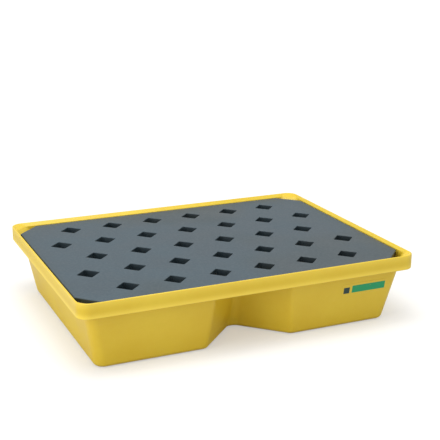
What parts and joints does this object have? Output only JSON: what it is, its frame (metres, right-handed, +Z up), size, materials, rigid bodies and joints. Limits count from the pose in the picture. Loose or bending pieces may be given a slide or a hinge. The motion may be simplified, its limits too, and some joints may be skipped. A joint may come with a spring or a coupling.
{
  "type": "spill containment tray",
  "caption": "Low moulded spill tray with a stepped rim and recessed long walls, and a lift-out perforated deck that drains into the sump below it.",
  "frame": {"origin": "middle of the tray's base, on the floor that it stands on", "axes": "+Z up, +X along the long side towards the end that carries the mark, -Y towards the front wall with the mark"},
  "size_m": [0.808, 0.605, 0.168],
  "materials": {
    "tray_yellow": "satin moulded polyethylene",
    "deck_grey": "satin moulded polyethylene",
    "marking_green": "printed film"
  },
  "bodies": {
    "tray": {"sump_tray": "tray_yellow", "front_marking": "marking_green"},
    "deck": {"deck_grating": "deck_grey"}
  },
  "joints": [
    {"name": "deck_lift", "type": "slide", "parent": "tray", "child": "deck", "axis": [0, 0, 1], "range_m": [0, 0.2]}
  ]
}
